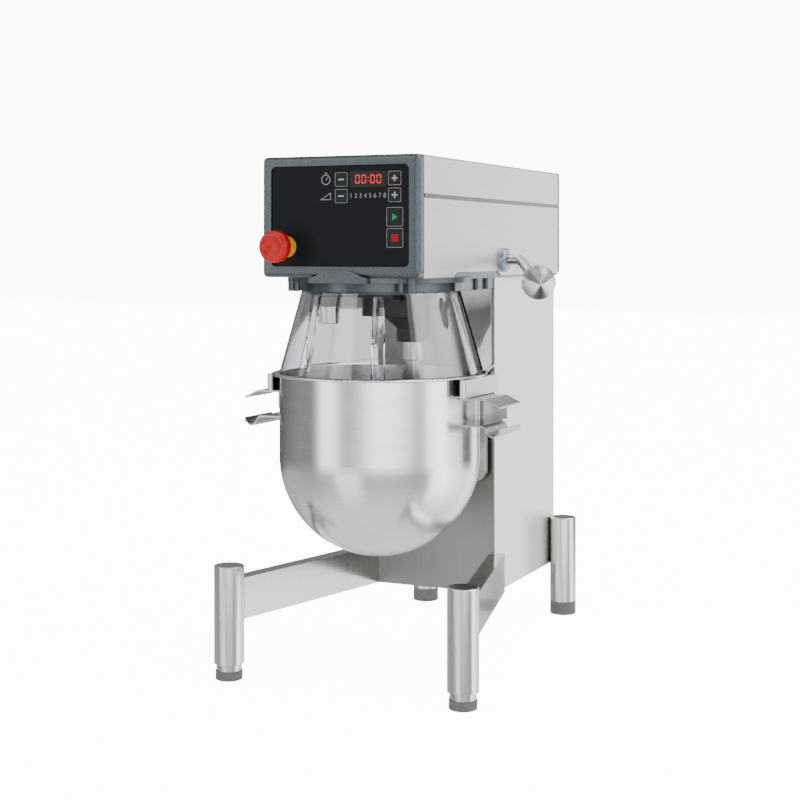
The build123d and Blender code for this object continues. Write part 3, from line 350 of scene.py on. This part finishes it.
MATERIALS = {
    "casing": brushed_steel("casing_steel", 0.68, (900, 12, 900), 0.36),
    "column": column_with_painted_shade(0.80),
    "bowl": spun_steel("bowl_steel", 0.60, 0.20, 0.55),
    "sheet": brushed_steel("sheet_steel", 0.42, (12, 700, 700), 0.2),
    "legs": brushed_steel("leg_steel", 0.48, (700, 700, 14), 0.15),
    "turned": machined_steel("turned_steel", 0.42, 0.18),
    "ball": ball_steel(),
    "handle": brushed_steel("handle_steel", 0.30, (12, 700, 700), 0.2),
    "paint": hammered_paint("blue_grey_paint", (0.022, 0.031, 0.036), (0.048, 0.066, 0.075)),
    # The lever bush takes a lighter copy of the blue-grey hammer paint: painted highlight for the light its
    # dish catches.
    "bush": hammered_paint("bush_paint_painted_highlight", (0.10, 0.13, 0.15), (0.34, 0.41, 0.46), 260.0),
    "iron": hammered_paint("casting_paint", (0.05, 0.075, 0.085), (0.10, 0.14, 0.155), 300.0),
    "black_cast": plastic("black_cast", (0.005, 0.005, 0.006), 0.36, 500.0, 0.2, 0.12),
    "sleeve": plastic("sleeve_dark", (0.030, 0.029, 0.028), 0.3, 700.0),
    "panel": plastic("panel_black", (0.0075, 0.0085, 0.0105), 0.38, gloss=0.05),
    "key": plastic("key_black", (0.013, 0.015, 0.018), 0.34, gloss=0.08),
    "sign": plastic("key_sign", (0.34, 0.36, 0.37), 0.45, gloss=0.1),
    "window": plastic("display_dark", (0.010, 0.003, 0.003), 0.16, 900.0, 0.02, 0.15),
    "red": plastic("stop_red", (0.42, 0.004, 0.003), 0.26, 700.0, 0.04, 0.22),
    "yellow": plastic("stop_yellow", (0.62, 0.36, 0.03), 0.4),
    "clear": clear_plastic("clear_sheet", (0.90, 0.92, 0.96), 1.42),
    # The rear guard is the same clear sheet tinted darker: painted shade over what is seen through it.
    "clear_side": clear_plastic("clear_side_sheet_painted_shade", (0.66, 0.64, 0.61), 1.22),
    "foot": rubber("foot_rubber", 0.10),
    "belt": rubber("belt_rubber", 0.03),
    "gear": machined_steel("gear_steel", 0.45, 0.3),
    "alloy": machined_steel("motor_alloy", 0.55, 0.42),
    "board": plastic("board_green", (0.02, 0.13, 0.05), 0.4),
    "box": plastic("box_grey", (0.22, 0.22, 0.24), 0.5),
    "print": plastic("panel_print", (0.24, 0.25, 0.26), 0.5, gloss=0.1),
    "lit_red": lamp("display_red", (0.8, 0.008, 0.006), 0.35),
    "green": plastic("start_green", (0.004, 0.24, 0.06), 0.35, gloss=0.1),
    "mark_red": plastic("stop_mark_red", (0.30, 0.006, 0.010), 0.35, gloss=0.1),
}

NODE_MATERIALS = {
    "casing": ("side_shells", "top_cover"),
    "column": ("column_shell", "rear_cover", "base_plate"),
    "legs": ("legs", "outriggers"),
    "bowl": ("mixing_bowl",),
    "sheet": ("bowl_fork", "carrier_plate"),
    "handle": ("bowl_handles",),
    "turned": ("accessory_stub", "tool_shaft", "whisk_hub", "whisk_wires", "main_shaft", "guide_rods",
               "lift_link", "lever_arm", "lever_ball", "lift_crank", "levelling_feet", "cover_screws",
               "stop_stem"),
    "paint": ("trim_strip", "rear_plate", "bezel", "guard_flange", "guard_ring"),
    "bush": ("lever_bush",),
    "iron": ("head_casting", "main_pulley"),
    "black_cast": ("planet_housing",),
    "panel": ("control_panel", "stop_switch"),
    "key": tuple(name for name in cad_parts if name.startswith("key_")),
    "window": ("display_window",),
    "red": ("stop_cap",),
    "yellow": ("stop_collar",),
    "clear": ("guard_skirt",),
    "clear_side": ("rear_guard",),
    "foot": ("rubber_feet", "cable_gland"),
    "belt": ("drive_belt",),
    "gear": ("ring_gear", "planet_pinion", "shaft_bearings", "tool_bearings", "motor_rotor",
             "motor_pulley"),
    "alloy": ("motor_housing", "lift_carriage"),
    "board": ("control_board",),
    "box": ("inverter_box",),
}


def dress_frame():
    """Gives every node of the frame its material."""
    for key, names in NODE_MATERIALS.items():
        for name in names:
            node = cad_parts[name]
            slots = node.data.materials
            for index in range(len(slots)):
                slots[index] = MATERIALS[key]
            if not slots:
                slots.append(MATERIALS[key])


# ---- mesh helpers ----

def mesh_piece(name, verts, faces, material, body, slot, smooth=False):
    """One mesh object that rides on a body."""
    mesh = bpy.data.meshes.new(name)
    mesh.from_pydata([tuple(v) for v in verts], [], faces)
    mesh.validate()
    work = bmesh.new()
    work.from_mesh(mesh)
    bmesh.ops.remove_doubles(work, verts=work.verts, dist=1e-7)
    bmesh.ops.recalc_face_normals(work, faces=work.faces)
    work.to_mesh(mesh)
    work.free()
    mesh.polygons.foreach_set("use_smooth", [smooth] * len(mesh.polygons))
    piece = bpy.data.objects.new(name, mesh)
    bpy.context.scene.collection.objects.link(piece)
    mesh.materials.append(MATERIALS[material])
    if smooth:
        mesh.set_sharp_from_angle(angle=radians(38))
    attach(piece, body)
    return piece


def lathe(profile, place, steps=96):
    """Vertices and faces of a closed (radius, height) profile turned about a placed Z axis."""
    verts = []
    faces = []
    count = len(profile)
    for step in range(steps):
        angle = 2 * pi * step / steps
        verts += [place @ Vector((r * cos(angle), r * sin(angle), h)) for r, h in profile]
    for step in range(steps):
        here = step * count
        there = (step + 1) % steps * count
        for index in range(count):
            after = (index + 1) % count
            faces.append((here + index, there + index, there + after, here + after))
    return verts, faces


def arc(centre, radius, start, end, steps=8):
    """Points of a round stretch of a profile, angles in degrees."""
    turns = [radians(start + (end - start) * step / steps) for step in range(steps + 1)]
    return [(centre[0] + radius * cos(t), centre[1] + radius * sin(t)) for t in turns]


def facing(x, y, z):
    """A place whose Z axis points out of the front panel, with X to the right."""
    return Matrix.Translation((x, y, z)) @ Matrix.Rotation(pi / 2, 4, "X")


def slab(outline, place, thick):
    """A flat symbol: a closed outline in the placed XY plane, raised along its Z."""
    count = len(outline)
    verts = [place @ Vector((x, y, 0)) for x, y in outline]
    verts += [place @ Vector((x, y, thick)) for x, y in outline]
    faces = [tuple(range(count))[::-1], tuple(range(count, 2 * count))]
    faces += [(i, (i + 1) % count, (i + 1) % count + count, i + count) for i in range(count)]
    return verts, faces


def hollow(outer, inner, place, thick):
    """A raised frame between two outlines with the same number of points."""
    count = len(outer)
    rings = [(outer, 0), (outer, thick), (inner, thick), (inner, 0)]
    verts = [place @ Vector((x, y, h)) for ring, h in rings for x, y in ring]
    faces = []
    for ring in range(4):
        here = ring * count
        there = (ring + 1) % 4 * count
        for i in range(count):
            j = (i + 1) % count
            faces.append((here + i, here + j, there + j, there + i))
    return verts, faces


def joined(*shapes):
    """Several shapes as one list of vertices and faces."""
    verts = []
    faces = []
    for more_verts, more_faces in shapes:
        start = len(verts)
        verts += more_verts
        faces += [tuple(i + start for i in face) for face in more_faces]
    return verts, faces


def rectangle(width, height, x=0.0, y=0.0):
    """The corners of a rectangle."""
    w = width / 2
    h = height / 2
    return [(x - w, y - h), (x + w, y - h), (x + w, y + h), (x - w, y + h)]


def rounded(width, height, radius, steps=5):
    """A rectangle with rounded corners."""
    w = width / 2 - radius
    h = height / 2 - radius
    points = []
    for x, y, start in ((w, -h, -90), (w, h, 0), (-w, h, 90), (-w, -h, 180)):
        points += arc((x, y), radius, start, start + 90, steps)
    return points


def circle(radius, steps):
    """The points of a circle."""
    turns = [2 * pi * step / steps for step in range(steps)]
    return [(radius * cos(t), radius * sin(t)) for t in turns]


# ---- front panel ----

PRINT = 0.12 * MM


def centre_of(node):
    """The middle of a node's box."""
    low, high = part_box(node)
    return [(a + b) / 2 for a, b in zip(low, high)]


KEY_GAP = 1.4 * MM
FRAME_LINE = 1.3 * MM
SIGN_LONG = 7.6 * MM
SIGN_THICK = 1.9 * MM
SIGN_ARM = 2.85 * MM
SIGN_ARM_PLACE = 2.37 * MM
STOP_SQUARE = 9.4 * MM
NUMBER_SIZE = 8.2 * MM
NUMBERS = 8
PICTURE_GAP = 21.2 * MM


def key_frames():
    """The thin printed frames round the keys."""
    frames = []
    for name in NODE_MATERIALS["key"]:
        low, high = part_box(name)
        x, _, z = centre_of(name)
        width = high[0] - low[0] + KEY_GAP
        height = high[2] - low[2] + KEY_GAP
        outer = rounded(width + FRAME_LINE, height + FRAME_LINE, 1.8 * MM)
        inner = rounded(width, height, 1.3 * MM)
        frames.append(hollow(outer, inner, facing(x, PANEL_Y, z), PRINT))
    mesh_piece("key_frames", *joined(*frames), "print", "stand", "panel_black")


def key_signs():
    """Minus and plus signs, the start arrow and the stop square, each riding on its key."""
    for name in ("key_time_down", "key_speed_down", "key_time_up", "key_speed_up"):
        x, _, z = centre_of(name)
        place = facing(x, KEY_Y, z)
        bars = [slab(rectangle(SIGN_LONG, SIGN_THICK), place, PRINT)]
        if name.endswith("up"):
            for y in (SIGN_ARM_PLACE, -SIGN_ARM_PLACE):
                bars.append(slab(rectangle(SIGN_THICK, SIGN_ARM, 0, y), place, PRINT))
        mesh_piece(name + "_sign", *joined(*bars), "sign", name, "key_black")

    x, _, z = centre_of("key_start")
    arrow = slab([(-3.4 * MM, -4.6 * MM), (4.2 * MM, 0), (-3.4 * MM, 4.6 * MM)], facing(x, KEY_Y, z), PRINT)
    mesh_piece("start_arrow", *arrow, "green", "key_start", "key_black")
    x, _, z = centre_of("key_stop")
    square = slab(rectangle(STOP_SQUARE, STOP_SQUARE), facing(x, KEY_Y, z), PRINT)
    mesh_piece("stop_square", *square, "mark_red", "key_stop", "key_black")


def speed_numbers():
    """The numbers of the speeds, between the two speed keys."""
    left, _, z = centre_of("key_speed_down")
    right = centre_of("key_speed_up")[0]
    first = left + 13.6 * MM
    step = (right - left - 27.0 * MM) / (NUMBERS - 1)
    for number in range(NUMBERS):
        name = f"speed_{number + 1}"
        curve = bpy.data.curves.new(name, "FONT")
        curve.body = str(number + 1)
        curve.size = NUMBER_SIZE
        curve.extrude = PRINT / 2
        curve.align_x = "CENTER"
        curve.align_y = "CENTER"
        curve.materials.append(MATERIALS["print"])
        digit = bpy.data.objects.new(name, curve)
        bpy.context.scene.collection.objects.link(digit)
        digit.matrix_world = facing(first + number * step, PANEL_Y - PRINT / 2, z)
        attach(digit, "stand")


def panel_pictures():
    """The clock beside the time keys and the rising ramp beside the speed keys."""
    picture_x = centre_of("key_speed_down")[0] - PICTURE_GAP
    dial = facing(picture_x, PANEL_Y, centre_of("key_time_down")[2])
    hand = [(-0.5 * MM, -0.4 * MM), (0.6 * MM, -0.8 * MM), (3.0 * MM, 3.2 * MM), (2.4 * MM, 3.6 * MM)]
    clock = joined(
        hollow(circle(6.4 * MM, 48), circle(5.3 * MM, 48), dial, PRINT),
        slab(rectangle(3.2 * MM, 1.2 * MM, 0, 8.2 * MM), dial, PRINT),
        slab(rectangle(1.0 * MM, 1.4 * MM, 0, 7.0 * MM), dial, PRINT),
        slab(hand, dial, PRINT))
    mesh_piece("clock_picture", *clock, "print", "stand", "panel_black")

    place = facing(picture_x - 0.6 * MM, PANEL_Y, centre_of("key_speed_down")[2])
    outer = [(-7.6 * MM, -4.6 * MM), (7.6 * MM, -4.6 * MM), (7.6 * MM, 4.8 * MM)]
    inner = [(-4.6 * MM, -3.7 * MM), (6.7 * MM, -3.7 * MM), (6.7 * MM, 3.2 * MM)]
    mesh_piece("ramp_picture", *hollow(outer, inner, place, PRINT), "print", "stand", "panel_black")


DIGIT_TALL = 11.0 * MM
DIGIT_WIDE = 6.2 * MM
DIGIT_BAR = 1.25 * MM
DIGIT_SLANT = 0.09
DIGIT_PLACES = (0.215, 0.385, 0.625, 0.795)
COLON_DOT = 1.3 * MM
COLON_PLACE = 1.9 * MM


def display_digits():
    """Four seven-segment zeros and a colon on the display."""
    low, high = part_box("display_window")
    middle = (low[2] + high[2]) / 2
    places = [low[0] + (high[0] - low[0]) * share for share in DIGIT_PLACES]
    half = DIGIT_TALL / 2
    shapes = []
    for x in places:
        place = facing(x, WINDOW_Y, middle) @ Matrix.Shear("XY", 4, (DIGIT_SLANT, 0.0))
        for y in (-half + DIGIT_BAR / 2, half - DIGIT_BAR / 2):
            shapes.append(slab(rectangle(DIGIT_WIDE - 1.7 * DIGIT_BAR, DIGIT_BAR, 0, y), place, PRINT))
        for x_side in (-1, 1):
            for y_side in (-1, 1):
                spot = (x_side * (DIGIT_WIDE - DIGIT_BAR) / 2, y_side * half / 2)
                shapes.append(slab(rectangle(DIGIT_BAR, half - 0.9 * DIGIT_BAR, *spot), place, PRINT))
    colon = facing((places[1] + places[2]) / 2, WINDOW_Y, middle)
    for y in (-COLON_PLACE, COLON_PLACE):
        shapes.append(slab(rectangle(COLON_DOT, COLON_DOT, 0, y), colon, PRINT))
    mesh_piece("display_digits", *joined(*shapes), "lit_red", "stand", "display_dark")


ON_AXIS = 0.0001 * MM
DISH = 2.0 * MM
CAP_ROUND = 4.6 * MM
CAP_BACK_ROUND = 2.5 * MM
STEM_HOLE = 6.1 * MM
ARROW_LINE = (8.6 * MM, 10.4 * MM)
ARROW_HEAD = (7.0 * MM, 9.5 * MM, 12.0 * MM)


def polar(radius, degrees):
    """A point at a distance and an angle."""
    return (radius * cos(radians(degrees)), radius * sin(radians(degrees)))


def stop_button():
    """The mushroom head with its raised rim and turning arrows."""
    low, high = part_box("stop_cap")
    x, _, z = centre_of("stop_cap")
    deep = high[1] - low[1]
    radius = (high[0] - low[0]) / 2
    profile = [(ON_AXIS, deep - DISH)]
    profile += [(6.0 * MM, deep - DISH), (7.0 * MM, deep - 1.6 * MM), (11.0 * MM, deep - 1.3 * MM)]
    profile += [(12.2 * MM, deep - 0.4 * MM), (13.4 * MM, deep)]
    profile += arc((radius - CAP_ROUND, deep - CAP_ROUND), CAP_ROUND, 80, 0, 9)
    profile += arc((radius - CAP_BACK_ROUND, CAP_BACK_ROUND), CAP_BACK_ROUND, 0, -90, 6)
    profile += [(14.4 * MM, 0), (14.4 * MM, 4.4 * MM), (STEM_HOLE, 4.4 * MM), (STEM_HOLE, deep - 4.0 * MM)]
    profile += [(ON_AXIS, deep - 4.0 * MM)]
    head = lathe(profile, facing(x, high[1], z))
    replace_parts(mesh_piece("stop_head", *head, "red", "stop_button", "stop_red", smooth=True), "stop_cap")

    inside, outside = ARROW_LINE
    arrows = []
    for turn in (90, 210, 330):
        outer = arc((0, 0), outside, turn - 34, turn + 14, 10)
        inner = arc((0, 0), inside, turn + 14, turn - 34, 10)
        near, tip, far = ARROW_HEAD
        point = [polar(far, turn + 14), polar(tip, turn + 34), polar(near, turn + 14)]
        place = facing(x, high[1] - deep + 1.62 * MM, z)
        arrows.append(slab(outer + point + inner, place, 0.5 * MM))
    mesh_piece("stop_arrows", *joined(*arrows), "red", "stop_button", "stop_red")


# ---- hand lever and accessory stub ----

BALL_POLE = (0.42, -0.86, -0.10)


def lever_ball():
    """The turned steel ball, its grooves running round the axis that it was turned on."""
    low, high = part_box("lever_ball")
    work = bmesh.new()
    bmesh.ops.create_uvsphere(work, u_segments=96, v_segments=64, radius=(high[0] - low[0]) / 2)
    mesh = bpy.data.meshes.new("ball_grip")
    work.to_mesh(mesh)
    work.free()
    mesh.polygons.foreach_set("use_smooth", [True] * len(mesh.polygons))
    mesh.materials.append(MATERIALS["ball"])
    ball = bpy.data.objects.new("ball_grip", mesh)
    bpy.context.scene.collection.objects.link(ball)
    aim = Vector(BALL_POLE).normalized().to_track_quat("Z", "Y")
    ball.matrix_world = Matrix.Translation(centre_of("lever_ball")) @ aim.to_matrix().to_4x4()
    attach(ball, "hand_lever")
    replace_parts(ball, "lever_ball")


SLEEVE_TALL = 14.0 * MM
SLEEVE_WALL = 1.3 * MM
SLEEVE_EDGE = 0.6 * MM


def stub_sleeve():
    """The dark sleeve round the upper part of the accessory stub."""
    low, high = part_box("accessory_stub")
    x, y, _ = centre_of("accessory_stub")
    inner = (high[0] - low[0]) / 2
    outer = inner + SLEEVE_WALL
    profile = [(inner, 0), (outer, SLEEVE_EDGE), (outer, SLEEVE_TALL), (inner, SLEEVE_TALL)]
    sleeve = lathe(profile, Matrix.Translation((x, y, high[2] - SLEEVE_TALL)))
    mesh_piece("stub_sleeve", *sleeve, "sleeve", "planet_carrier", "black_cast", smooth=True)


# ---- stage ----

CAMERA_TURN = 24.2
CAMERA_PLACE = (0.83955, -1.99245, 0.5472)
CAMERA_LENS = 70.46
CAMERA_SHIFT = -0.1848


def camera():
    """A level camera to the right of the machine's front."""
    data = bpy.data.cameras.new("view")
    data.lens = CAMERA_LENS
    data.sensor_width = 36
    data.shift_y = CAMERA_SHIFT
    data.clip_end = 50
    made = bpy.data.objects.new("view", data)
    bpy.context.scene.collection.objects.link(made)
    made.location = CAMERA_PLACE
    made.rotation_euler = (pi / 2, 0, radians(CAMERA_TURN))
    bpy.context.scene.camera = made


LIGHT_TARGET = (0.0, 0.0, 0.35)
LIGHTS = [
    ("left_box", (-2.2, -1.6, 1.6), (1.4, 1.8), 14),
    ("right_box", (2.4, -0.6, 1.3), (1.2, 1.8), 10),
    ("top_box", (0.2, -0.4, 2.6), (2.0, 2.0), 12),
]


def area_light(name, place, size, power):
    """A rectangular softbox aimed at the machine's middle."""
    data = bpy.data.lights.new(name, "AREA")
    data.shape = "RECTANGLE"
    data.size, data.size_y = size
    data.energy = power
    made = bpy.data.objects.new(name, data)
    bpy.context.scene.collection.objects.link(made)
    made.location = place
    aim = Vector(LIGHT_TARGET) - Vector(place)
    made.rotation_euler = aim.to_track_quat("-Z", "Y").to_euler()


# What a mirror sees round the room: places from 0 to 1 round the Z axis, each with a brightness.
# Each set of bands takes over from the one before as the ray's Z goes from its first to its second limit.
ROOM_BRIGHT = 10.0
LEVEL_BANDS = [
    (0.0, 1.5), (0.03, 0.75), (0.05, 0.85), (0.07, 3.0), (0.095, 5.0), (0.118, 4.5), (0.14, 1.0),
    (0.16, 0.35), (0.22, 0.40), (0.29, 0.27), (0.35, 0.16), (0.44, 0.25), (0.512, 0.3), (0.53, 3.4),
    (0.568, 3.4), (0.576, 0.05), (0.628, 0.06), (0.64, 2.3), (0.675, 2.7), (0.727, 5.2), (0.772, 4.3),
    (0.79, 1.7), (0.815, 1.5), (0.835, 2.7), (0.875, 4.5), (0.933, 5.4), (0.97, 3.8), (1.0, 1.5),
]
HIGH_BANDS = [
    (0.0, 0.3), (0.02, 0.4), (0.035, 5.0), (0.09, 5.0), (0.105, 0.9), (0.3, 0.6), (0.55, 0.7),
    (0.61, 2.2), (0.63, 9.0), (0.785, 9.0), (0.8, 0.5), (1.0, 0.3),
]
LOW_BANDS = [
    (0.0, 2.6), (0.012, 2.8), (0.07, 2.8), (0.085, 1.0), (0.165, 0.75), (0.3, 0.9), (0.42, 0.5),
    (0.49, 1.0), (0.53, 2.8), (0.575, 3.0), (0.6, 2.6), (0.638, 3.4), (0.66, 3.6), (0.7, 5.4),
    (0.745, 5.0), (0.765, 0.9), (0.8, 0.8), (0.89, 1.0), (0.975, 0.95), (1.0, 2.0),
]
BELOW_BANDS = [(0.0, 1.7), (1.0, 1.7)]
HIGH_LIMITS = (0.2, 0.3)
LOW_LIMITS = (-0.18, -0.21)
BELOW_LIMITS = (-0.4, -0.8)
SEEN_WHITE = 14.0
SOFT_WHITE = 1.0
MIX_FACTOR = 0
MIX_FIRST = 6
MIX_SECOND = 7
MIX_RESULT = 2


def bands_colour(nodes, turn, bands):
    """The output with the colour of the bands round the room."""
    stops = [(place, grey(value / ROOM_BRIGHT)) for place, value in bands]
    return nodes.ramp(turn, "Result", stops).outputs["Color"]


def room():
    """A white room; what mirrors it sees upright bright and dark bands, as of softboxes and flags."""
    world = bpy.data.worlds.new("room")
    bpy.context.scene.world = world
    world.use_nodes = True
    nodes = Nodes(world.node_tree)

    path = nodes.node("ShaderNodeLightPath")
    direct = nodes.node("ShaderNodeMath", operation="MAXIMUM")
    nodes.link(path, "Is Camera Ray", direct, 0)
    nodes.link(path, "Is Transmission Ray", direct, 1)
    plain = nodes.node("ShaderNodeBackground")
    nodes.link(nodes.spread(direct, "Value", 0, 1, SOFT_WHITE, SEEN_WHITE), "Result", plain, "Strength")

    parts = nodes.parts(nodes.coords, "Generated")
    turn = nodes.turn(parts)
    seen = bands_colour(nodes, turn, LEVEL_BANDS)
    layers = ((HIGH_BANDS, HIGH_LIMITS), (LOW_BANDS, LOW_LIMITS), (BELOW_BANDS, BELOW_LIMITS))
    for bands, limits in layers:
        blend = nodes.node("ShaderNodeMix", data_type="RGBA")
        nodes.link(nodes.spread(parts, "Z", *limits), "Result", blend, MIX_FACTOR)
        nodes.tree.links.new(seen, blend.inputs[MIX_FIRST])
        nodes.tree.links.new(bands_colour(nodes, turn, bands), blend.inputs[MIX_SECOND])
        seen = blend.outputs[MIX_RESULT]
    mirrored = nodes.node("ShaderNodeBackground", Strength=ROOM_BRIGHT)
    nodes.tree.links.new(seen, mirrored.inputs["Color"])

    mix = nodes.node("ShaderNodeMixShader")
    nodes.link(path, "Is Glossy Ray", mix, "Fac")
    nodes.link(plain, "Background", mix, 1)
    nodes.link(mirrored, "Background", mix, 2)
    nodes.link(mix, "Shader", nodes.node("ShaderNodeOutputWorld"), "Surface")


FLOOR_REACH = 12.0
FLOOR_DROP = 0.5 * MM
FLOOR_GLOW = (0.9, 12.6)
FLOOR_COLOURS = (0.90, 0.92)


def floor():
    """A pale floor that glows for the camera and that no mirror sees."""
    mesh = bpy.data.meshes.new("floor")
    corners = [(x * FLOOR_REACH, y * FLOOR_REACH, 0) for x, y in ((-1, -1), (1, -1), (1, 1), (-1, 1))]
    mesh.from_pydata(corners, [], [(0, 1, 2, 3)])
    made = bpy.data.objects.new("floor", mesh)
    bpy.context.scene.collection.objects.link(made)
    g = Graph("floor_white")
    g.set(Roughness=0.6, Specular_IOR_Level=0.1, Emission_Color=(1, 1, 1, 1))
    glow = g.spread(g.node("ShaderNodeLightPath"), "Is Camera Ray", 0, 1, *FLOOR_GLOW)
    g.link(glow, "Result", g.shader, "Emission Strength")
    low, high = FLOOR_COLOURS
    g.paint(g.noise(g.stretched(), 2.0, 2.0), "Fac", [(0.0, grey(low)), (1.0, grey(high))])
    mesh.materials.append(g.material)
    made.location.z = -FLOOR_DROP
    made.visible_glossy = False


def studio():
    """The floor, the room for the steel to mirror, and the softboxes."""
    floor()
    room()
    for light in LIGHTS:
        area_light(*light)


def build():
    """Dresses the frame, adds every piece and sets the stage."""
    dress_frame()
    key_frames()
    key_signs()
    speed_numbers()
    panel_pictures()
    display_digits()
    stop_button()
    lever_ball()
    stub_sleeve()
    camera()
    studio()


build()
